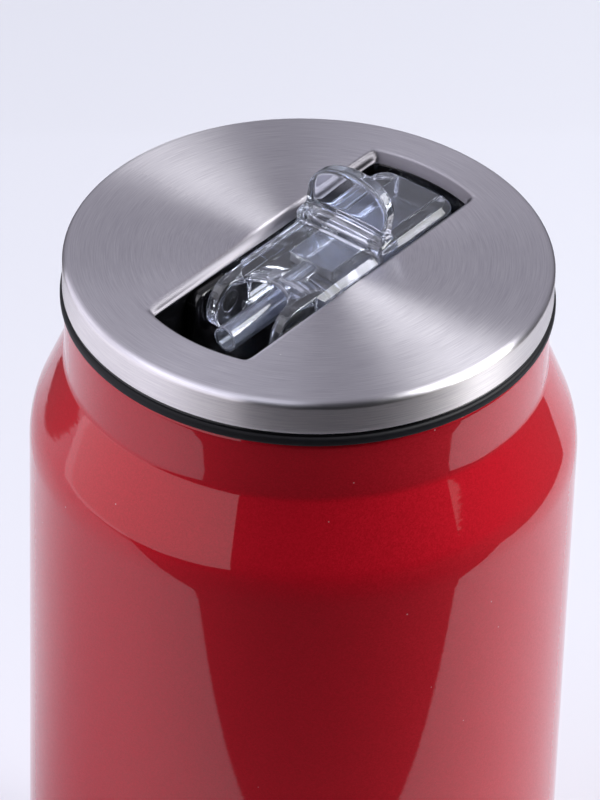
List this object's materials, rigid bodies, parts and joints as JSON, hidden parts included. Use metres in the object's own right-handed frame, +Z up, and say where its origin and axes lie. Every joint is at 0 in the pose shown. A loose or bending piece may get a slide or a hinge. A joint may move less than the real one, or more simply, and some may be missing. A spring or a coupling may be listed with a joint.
{
  "type": "can-shaped drinking tumbler",
  "caption": "Drinks-can shaped steel tumbler with a lacquered body, a brushed steel screw lid with a long slot, and a clear flip-up drinking spout with a thumb tab.",
  "frame": {"origin": "centre of the base, on the surface that the tumbler stands on", "axes": "+Z up the can; the slot in the lid runs along Y, with the spout's pivot towards -Y and its drinking end towards +Y"},
  "size_m": [0.066, 0.066, 0.1332],
  "materials": {
    "body_lacquer": "gloss",
    "gasket_rubber": "satin",
    "insert_plastic": "gloss",
    "lid_steel": "circular brushed",
    "spout_clear": "clear polished plastic"
  },
  "bodies": {
    "tumbler": {"can_body": "body_lacquer", "neck_gasket": "gasket_rubber", "lid_insert": "insert_plastic", "lid_cap": "lid_steel"},
    "spout": {"flip_spout": "spout_clear"}
  },
  "joints": [
    {"name": "spout_flip", "type": "hinge", "parent": "tumbler", "child": "spout", "pos_m": [0, -0.009, 0.1221], "axis": [1, 0, 0], "range_deg": [0, 90]}
  ]
}
